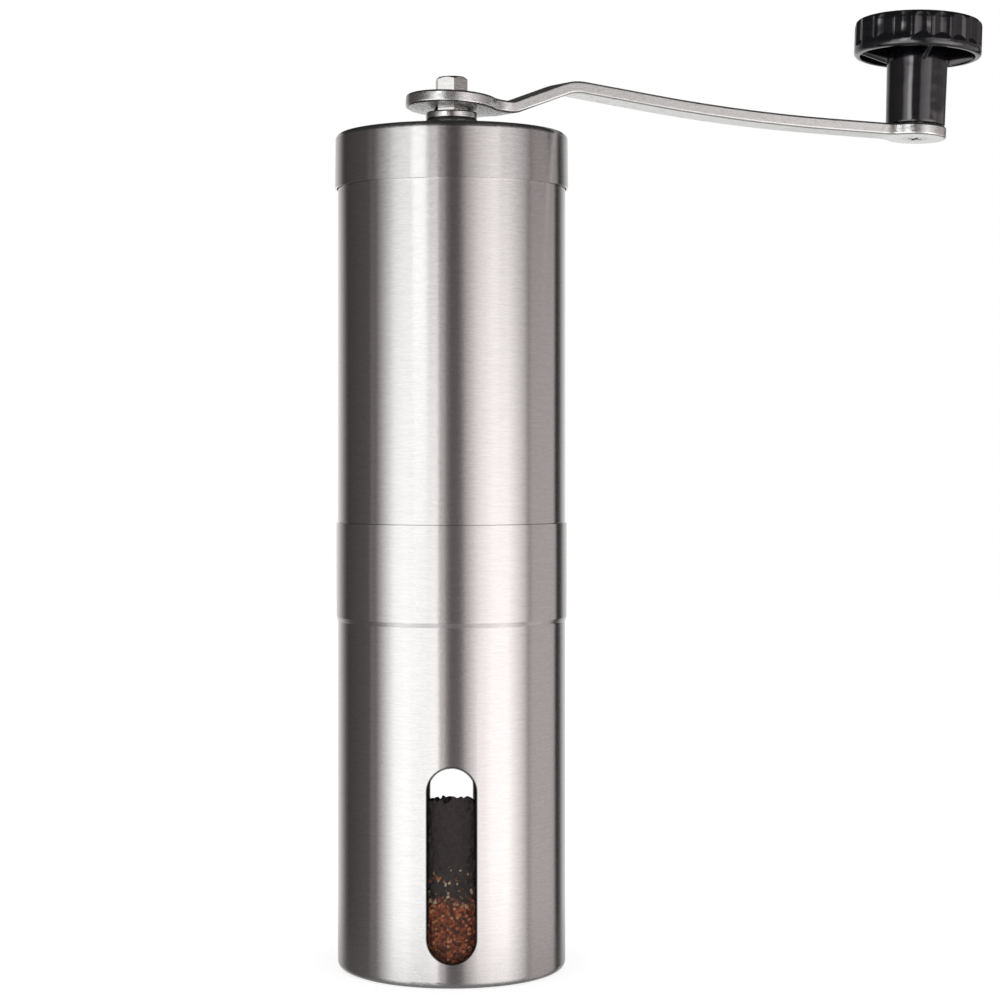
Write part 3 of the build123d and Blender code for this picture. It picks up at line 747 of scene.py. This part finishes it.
class GRINDER_OT_studio(Operator):
    """Set up the camera, the floor, the light tent and the white world"""

    bl_idname = "grinder.studio"
    bl_label = "Studio"

    def execute(self, context):
        sizes = context.scene.grinder_studio
        self.add_camera(context, sizes)
        ground = disc("studio_floor", sizes.floor_radius, body_foot)
        stage_piece(ground, floor_finish(sizes), seen_by_camera=True).visible_glossy = False
        # Painted shade: a grey sheet at the floor, seen only in the steel's reflections, darkens the body's
        # foot
        foot_shade = stage_piece(disc("studio_foot_shade", sizes.foot_shade_radius, body_foot), foot_shade_finish(sizes))
        foot_shade.visible_diffuse = foot_shade.visible_shadow = False
        tent = wall("studio_tent", sizes.tent_radius, sizes.tent_foot, sizes.tent_top)
        bars = wall("studio_bars", sizes.bar_radius, sizes.bar_foot, sizes.bar_top)
        flag = disc("studio_flag", sizes.tent_radius, sizes.tent_top)
        well = disc("studio_well", sizes.tent_radius, sizes.tent_foot)
        lights = (
            (tent, light_by_direction("studio_tent", TENT), True),
            (bars, light_by_direction("studio_bars", BARS), True),
            (flag, plain_emission("studio_flag", sizes.flag), False),
            (well, plain_emission("studio_well", sizes.well), False),
        )
        for mesh, glow, lights_paper in lights:
            piece = stage_piece(mesh, glow)
            piece.visible_transmission = False
            piece.visible_diffuse = lights_paper
        self.add_world(context, sizes)
        context.scene.view_settings.view_transform = "Standard"
        return {"FINISHED"}

    def add_camera(self, context, sizes):
        """A level camera in front of the shaft, looking along +Y."""
        data = bpy.data.cameras.new("camera")
        data.lens = sizes.lens
        data.shift_x, data.shift_y = sizes.shift
        camera = bpy.data.objects.new("camera", data)
        camera.location = (0, -sizes.distance, sizes.height)
        camera.rotation_euler = (pi / 2, 0, 0)
        context.scene.collection.objects.link(camera)
        context.scene.camera = camera

    def add_world(self, context, sizes):
        """White to the camera and to what mirrors or lets through, and a lower level for the rest."""
        world = bpy.data.worlds.new("world")
        context.scene.world = world
        sky = Finish("world", world)
        camera = sky.node("ShaderNodeLightPath", {}, output="Is Camera Ray")
        seen = camera.largest(camera.beside("Is Glossy Ray")).largest(camera.beside("Is Transmission Ray"))
        strength = seen * (1 - sizes.fill) + sizes.fill
        sky.close(sky.node("ShaderNodeBackground", {}, WHITE, strength), "ShaderNodeOutputWorld")


# ------------------------------------------------------------------ body


class GRINDER_OT_body(Operator):
    """Brush the tubes and the lid, and finish the inner pieces"""

    bl_idname = "grinder.body"
    bl_label = "Body"

    def execute(self, context):
        turned, matt = turned_steel(), matt_plastic()
        dress(brushed_steel(context.scene.grinder_steel), "cup_shell", "upper_tube", "lid_shell")
        dress(turned, "shaft", "shaft_clips", "thrust_washers", "burr_spring", "lid_ring")
        dress(turned, "knob_screw", "knob_post")
        dress(matt, "top_bridge", "burr_housing", "burr_lock_ring", "burr_carrier")
        dress(matt, "adjust_dial", "lid_plug", "lid_bush")
        dress(nylon(), "upper_bush", "lower_bush")
        dress(ceramic(), "outer_burr", "inner_burr")
        dress(brass(), "dial_nut")
        dress(clear_plastic(context.scene.grinder_steel), "cup_liner")
        dress(tumbled_steel(), "crank_arm")
        return {"FINISHED"}


# ------------------------------------------------------------------ knob


def knob_frame():
    """The knob's place: its origin on the arm, its axis, and the direction of the arm square to that axis."""
    spin = joints["knob_spin"]
    origin, axis = Vector(spin["pos_m"]), Vector(spin["axis"]).normalized()
    arm = Vector((origin.x, origin.y, 0))
    arm = (arm - axis * arm.dot(axis)).normalized()
    turned = Matrix((arm, axis.cross(arm), axis)).transposed().to_4x4()
    turned.translation = origin
    return turned


def knob_surface(sizes):
    """The knob turned about its axis, in millimetres until the end. Outside the flutes' reach the radius
    stays; inside it is no more than R - min(d - s^2 / 2f, run-out), where R is the head's radius, d a flute's
    depth, f its own radius, s the way across it and the run-out climbs from the plain band at the foot."""
    radius, height, lip = sizes.radius / MM, sizes.height / MM, sizes.lip / MM
    head_foot = height - sizes.head / MM
    hollow = head_foot + sizes.hollow / MM
    stem, stem_top = sizes.stem / MM, (sizes.stem + sizes.draft) / MM
    # Radii of the bore on the post, the well of the screw's head and the cap's seat; the gap over the arm
    bore, well, seat, gap = 2.68, 4.28, 8.0, 0.25
    well_foot, seat_foot = height - 2.64, height - 1.2
    outline = rounded_outline(
        [
            (bore, gap, 0.1),
            (stem, gap, 0.3),
            (stem_top, hollow, 0.8),
            (radius - lip, hollow, 0.8),
            (radius - lip, head_foot, 0.2),
            (radius, head_foot, 1.0),
            (radius, height, 1.4),
            (seat, height, 0.15),
            (seat, seat_foot, 0.1),
            (well, seat_foot, 0.1),
            (well, well_foot, 0.1),
            (bore, well_foot, 0.1),
        ]
    )
    outline = spaced(outline, longest=0.25)
    r, z = outline[:, 0:1], outline[:, 1:2]
    points_per_flute, run_out_slope, edge = 24, 0.6, 0.03
    turn = np.linspace(0, 2 * pi, points_per_flute * sizes.flutes, endpoint=False)[None, :]
    pitch = 2 * pi / sizes.flutes
    across = (np.mod(turn - radians(sizes.turn), pitch) - pitch / 2) * radius
    flute = soft_floor(sizes.flute_depth / MM - across**2 / (2 * sizes.flute_radius / MM), low=0, width=0.05)
    run_out = np.clip((z - head_foot - sizes.flute_foot / MM) * run_out_slope, 0, None)
    reach = radius - (flute - soft_floor(flute - run_out, low=0, width=0.06) + edge)
    r = r - soft_floor(r - reach, 0, edge) + soft_floor(r - radius, 0, edge)
    return np.stack(np.broadcast_arrays(r * np.cos(turn), r * np.sin(turn), z), axis=-1) * MM


def rib_surface(inner, outer, inner_foot, outer_foot, top, width, around=40, along=8):
    """A gusset along x: its foot rises in a straight line, and its section is a superellipse of the fourth
    degree, y = sign(cos a) sqrt|cos a| w / 2 and the same with sin a for z."""
    angle = np.linspace(0, 2 * pi, around, endpoint=False)[None, :]
    share = np.linspace(0, 1, along)[:, None]
    foot = inner_foot + (outer_foot - inner_foot) * share
    y = np.sign(np.cos(angle)) * np.abs(np.cos(angle)) ** 0.5 * width / 2
    z = np.sign(np.sin(angle)) * np.abs(np.sin(angle)) ** 0.5 * (top - foot) / 2 + (top + foot) / 2
    x = inner + (outer - inner) * share
    return np.stack(np.broadcast_arrays(x, y, z), axis=-1)


class GRINDER_OT_knob(Operator):
    """Mould the fluted knob with its hollow head and ribs"""

    bl_idname = "grinder.knob"
    bl_label = "Knob"

    def execute(self, context):
        sizes = context.scene.grinder_knob
        plastic = gloss_plastic(sizes)
        place = knob_frame()
        mesh = grid_mesh("knob_body", knob_surface(sizes), close_around=True, close_along=True)
        mesh.transform(place)
        body = add_piece(mesh, plastic, "crank_knob")
        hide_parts("knob")
        lip_foot, sunk = sizes.height - sizes.head, 0.3 * MM
        points = rib_surface(
            inner=sizes.stem - sunk,
            outer=sizes.radius - sizes.lip / 2,
            inner_foot=lip_foot - sizes.rib_drop,
            outer_foot=lip_foot + sunk,
            top=lip_foot + sizes.hollow + sunk,
            width=sizes.rib_width,
        )
        ends = [points[0].mean(axis=0), points[-1].mean(axis=0)]
        for index in range(sizes.ribs):
            rib = grid_mesh(f"knob_rib_{index + 1}", points, close_around=True, poles=ends)
            turn = radians(sizes.turn) + index * 2 * pi / sizes.ribs
            rib.transform(place @ Matrix.Rotation(turn, 4, "Z"))
            add_piece(rib, plastic, "crank_knob")
        dress(plastic, "knob_cap")
        return {"FINISHED"}


# ------------------------------------------------------------------ coffee


# More columns than any flat lattice of lumps uses, so that it never repeats
NO_WRAP = 999


def lumps(u, v, wrap, seed):
    """Distance to the nearest jittered point of a lattice, and a random size for it; u repeats every wrap."""
    rows = int(np.ceil(v.max())) + 4
    jitter = np.random.default_rng(seed).random((wrap, rows, 3))
    near, size = np.full(u.shape, 9.0), np.zeros(u.shape)
    column, row = np.floor(u).astype(int), np.floor(v).astype(int)
    for step_u in (-1, 0, 1):
        for step_v in (-1, 0, 1):
            i, j = column + step_u, row + step_v
            point = jitter[i % wrap, np.clip(j + 1, 0, rows - 1)]
            gap = np.hypot(i + point[..., 0] - u, j + point[..., 1] - v)
            size = np.where(gap < near, point[..., 2], size)
            near = np.minimum(near, gap)
    return np.clip(near, 0, 1), size


class GRINDER_OT_coffee(Operator):
    """Fill the cup with grounds and lay light flakes against its windows"""

    bl_idname = "grinder.coffee"
    bl_label = "Coffee"

    def execute(self, context):
        sizes = context.scene.grinder_coffee
        low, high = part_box("ground_coffee")
        radius = (high.x - low.x) / 2
        self.add_grounds(sizes, radius, low.z, high.z)
        self.add_chaff(sizes, radius)
        return {"FINISHED"}

    def add_grounds(self, sizes, radius, foot, front):
        """A closed skin up the round wall and over the heap, a plane that falls to the back. The wall sinks
        by the distance to its nearest lump, the heap also by a random size for each lump and clump."""
        around, up, inwards, innermost = 560, 120, 50, 0.03
        turn = np.linspace(0, 2 * pi, around, endpoint=False)[None, :]
        share = np.linspace(1, innermost, inwards)[1:, None]
        wrap = int(2 * pi * radius / sizes.lump)
        crest, lumps_across_clump = 0.0006, 2.3
        gap_depth, lump_depth, clump_depth = 0.0004, 0.0012, 0.0011

        def heap(x, y):
            """Height of the heap with its lumps."""
            u, v = (x + radius) / sizes.lump, (y + radius) / sizes.lump
            near, size = lumps(u, v, NO_WRAP, seed=8)
            clump = lumps(u / lumps_across_clump, v / lumps_across_clump, NO_WRAP, seed=9)[1]
            fall = (y + radius) * tan(radians(sizes.slope))
            return front + crest - fall - near * gap_depth - size * lump_depth - clump * clump_depth

        rim = heap(radius * np.sin(turn), -radius * np.cos(turn))
        z = foot + (rim - foot) * np.linspace(0, 1, up)[:, None]
        u = np.broadcast_to(turn / (2 * pi) * wrap, z.shape)
        r = radius - sizes.relief * lumps(u, (z - foot) / sizes.lump, wrap, seed=7)[0] - 2 * CLEARANCE
        side = np.stack([r * np.sin(turn), -r * np.cos(turn), z], axis=-1)
        x, y = radius * share * np.sin(turn), -radius * share * np.cos(turn)
        crown = np.stack([x, y, heap(x, y)], axis=-1)
        points = np.vstack([side, crown])
        poles = [(0, 0, foot), (0, 0, crown[-1, :, 2].mean())]
        mesh = grid_mesh("coffee_grounds", points, close_around=True, poles=poles)
        piece = add_piece(mesh, ground_coffee(sizes), "cup")
        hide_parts("ground_coffee")

    def add_chaff(self, sizes, radius):
        """Flakes on the wall of grounds, with random size, turn, tilt and tone. Each is a ring of corners on
        an ellipse, closed by a point in front, on the grounds' radius, and by one hidden behind."""
        random = np.random.default_rng(21)
        count, corners = 2 * sizes.chaff, 6
        spread, shortest, growth = 0.25, 0.00012, 0.00045
        inset, hidden_depth = 0.00014, 0.0005
        turn = random.uniform(-spread, spread, count) + np.where(np.arange(count) % 2, 0.0, pi)
        level = sizes.layer + (sizes.chaff_top - sizes.layer) * random.random(count) ** 1.6
        length = shortest + growth * random.random(count) ** 1.4
        width = length * random.uniform(0.4, 0.9, count)
        spin, tilt = random.uniform(0, pi, count), random.uniform(-0.5, 0.5, count)
        even = np.linspace(0, 2 * pi, corners, endpoint=False)
        corner = even + random.uniform(-0.25, 0.25, (count, corners))
        s = np.cos(corner) * length[:, None]
        t = np.sin(corner) * width[:, None]
        across = s * np.cos(spin)[:, None] - t * np.sin(spin)[:, None]
        up = s * np.sin(spin)[:, None] + t * np.cos(spin)[:, None]
        depth = radius - inset + across * np.sin(tilt)[:, None] * 0.3
        depth = np.minimum(depth, radius - CLEARANCE)
        angle = turn[:, None] + across / radius
        rim = np.stack([depth * np.sin(angle), -depth * np.cos(angle), level[:, None] + up], axis=-1)
        tips = [
            np.stack([tip * np.sin(turn), -tip * np.cos(turn), level], axis=-1)[:, None]
            for tip in (radius - CLEARANCE, radius - hidden_depth)
        ]
        vertices = np.concatenate([rim, *tips], axis=1)
        base = np.arange(count)[:, None] * vertices.shape[1]
        ring = base + np.arange(corners)
        following = base + np.roll(np.arange(corners), -1)
        middle, back = (np.broadcast_to(base + corners + tip, ring.shape) for tip in (0, 1))
        faces = np.concatenate(
            [np.stack([ring, following, middle], axis=-1), np.stack([following, ring, back], axis=-1)]
        )
        mesh = bpy.data.meshes.new("coffee_chaff")
        mesh.from_pydata(vertices.reshape(-1, 3).tolist(), [], faces.reshape(-1, 3).tolist())
        tone = np.repeat(random.random(count), vertices.shape[1])
        mesh.attributes.new("flake_tone", "FLOAT", "POINT").data.foreach_set("value", tone.astype(np.float32))
        add_piece(mesh, chaff(), "cup")


# ------------------------------------------------------------------ panel and registration


class GRINDER_PT_panel(Panel):
    """Lists the grinder's operators"""

    bl_idname = "GRINDER_PT_panel"
    bl_label = "Coffee grinder"
    bl_space_type = "VIEW_3D"
    bl_region_type = "UI"
    bl_category = "Grinder"

    def draw(self, context):
        for operator in OPERATORS:
            self.layout.operator(operator.bl_idname)
        for name in GROUPS:
            group = getattr(context.scene, name)
            box = self.layout.box()
            for key in group.__annotations__:
                box.prop(group, key)


GROUPS = {
    "grinder_studio": GrinderStudio,
    "grinder_steel": GrinderSteel,
    "grinder_knob": GrinderKnob,
    "grinder_coffee": GrinderCoffee,
}
OPERATORS = (GRINDER_OT_studio, GRINDER_OT_body, GRINDER_OT_knob, GRINDER_OT_coffee)


def register():
    for item in (*GROUPS.values(), *OPERATORS, GRINDER_PT_panel):
        bpy.utils.register_class(item)
    for name, group in GROUPS.items():
        setattr(bpy.types.Scene, name, PointerProperty(type=group))


def unregister():
    for name in GROUPS:
        delattr(bpy.types.Scene, name)
    for item in reversed((*GROUPS.values(), *OPERATORS, GRINDER_PT_panel)):
        bpy.utils.unregister_class(item)


def main():
    register()
    bpy.ops.grinder.studio()
    bpy.ops.grinder.body()
    bpy.ops.grinder.knob()
    bpy.ops.grinder.coffee()


if __name__ == "__main__":
    main()
